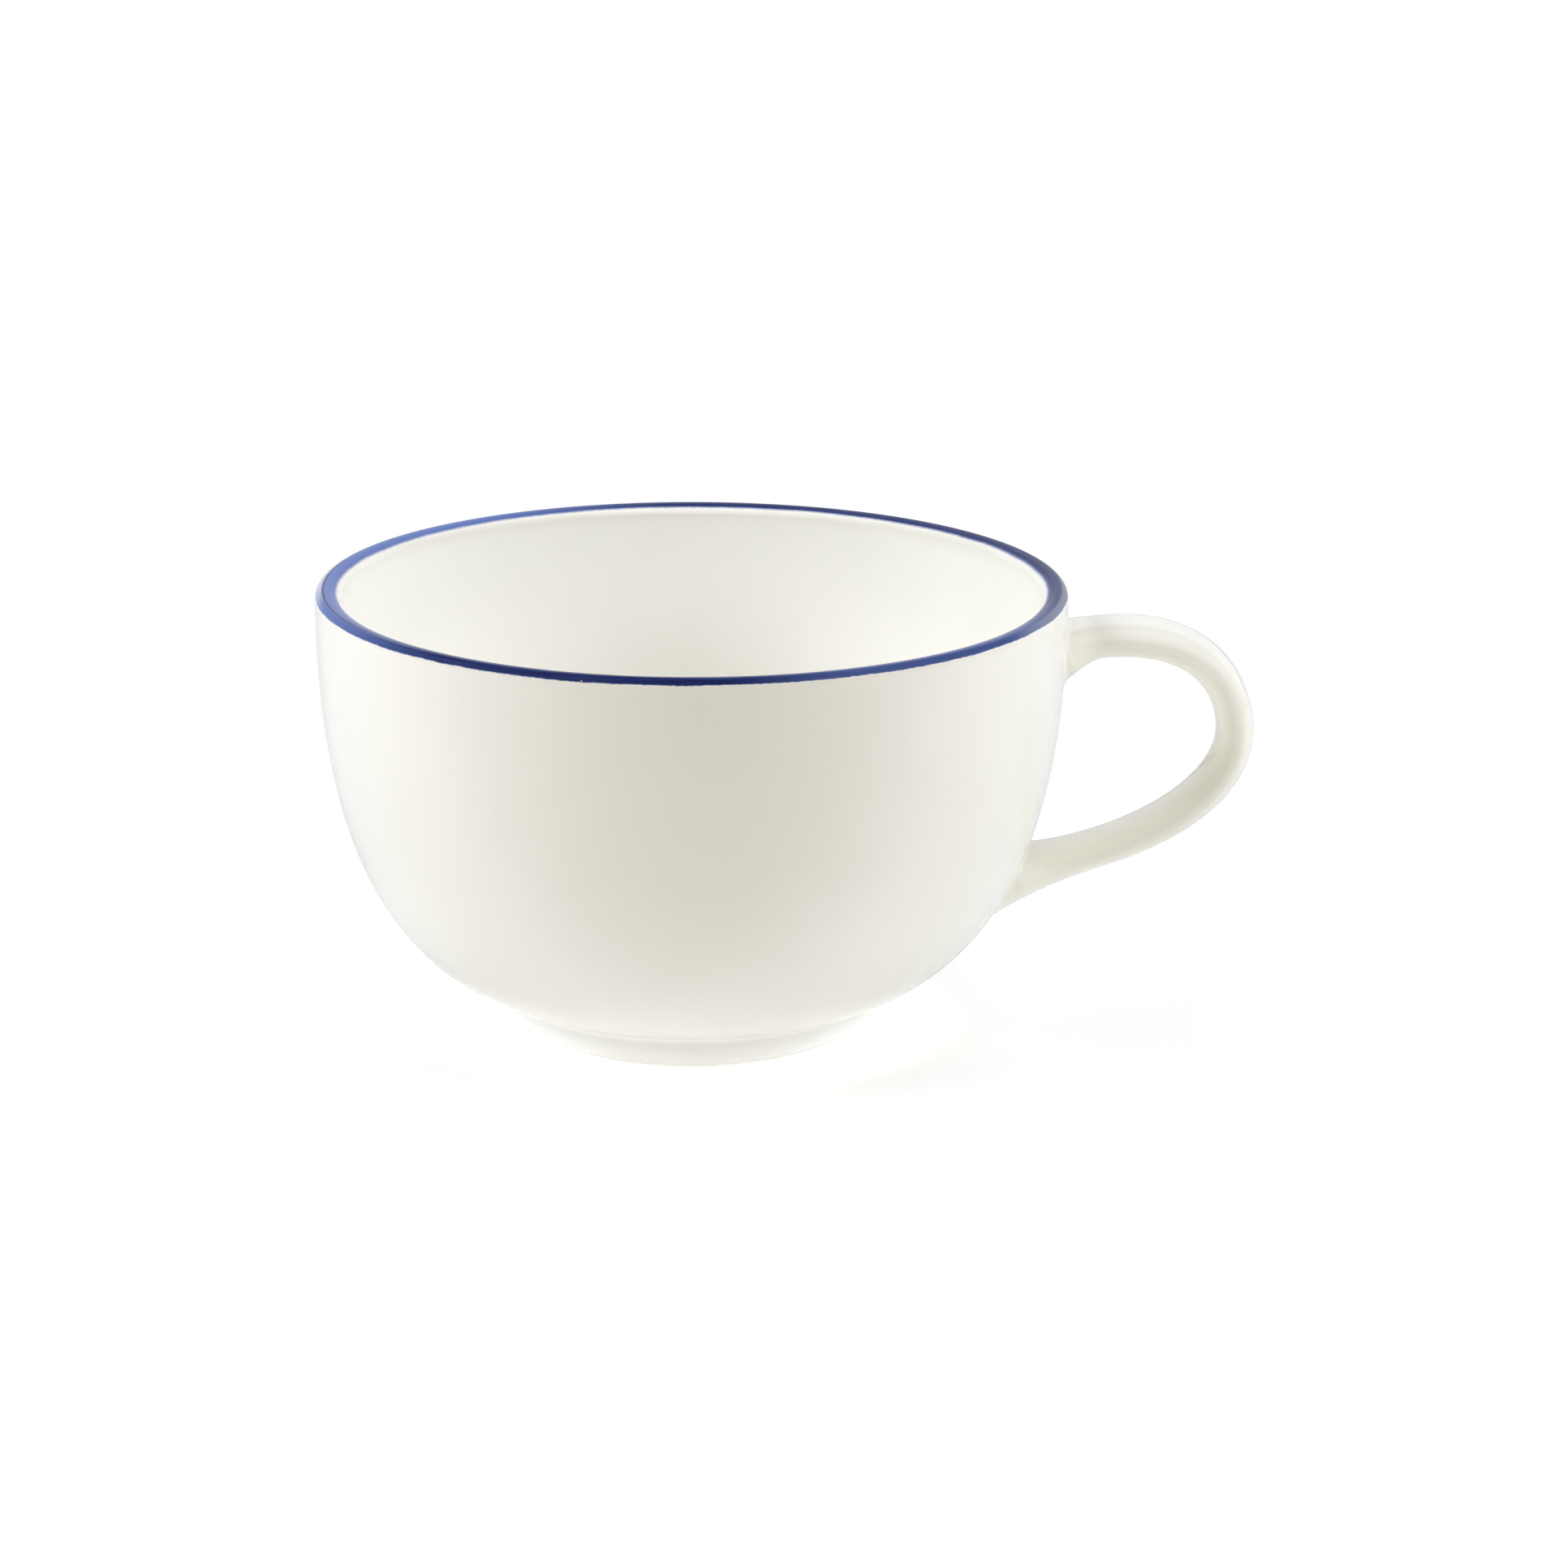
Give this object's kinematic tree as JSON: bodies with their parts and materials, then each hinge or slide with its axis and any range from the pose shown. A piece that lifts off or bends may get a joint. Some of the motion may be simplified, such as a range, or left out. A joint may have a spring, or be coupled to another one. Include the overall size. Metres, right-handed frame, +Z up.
{
  "type": "coffee cup",
  "caption": "Glazed ceramic coffee cup with a round-bellied bowl on a rolled foot ring, a loop handle for one finger and a plain blue line fired over the lip.",
  "frame": {"origin": "where the cup's turning axis meets the surface that it stands on, in the middle of the foot's bearing ring", "axes": "+Z up along the turning axis, +X from the axis towards the handle, +Y away from the viewer when the handle is on the right"},
  "size_m": [0.1189, 0.095, 0.057],
  "materials": {
    "white_glaze": "glossy clear glaze over cream-white porcelain",
    "foot_glaze": "glossy glaze that stops short of a bare ground bearing ring",
    "blue_line": "cobalt blue fired under a glossy glaze"
  },
  "bodies": {
    "root": {"bowl": "white_glaze", "foot_ring": "foot_glaze", "handle": "white_glaze", "upper_slip_joint": "white_glaze", "lower_slip_joint": "white_glaze", "rim_band": "blue_line"}
  },
  "joints": []
}
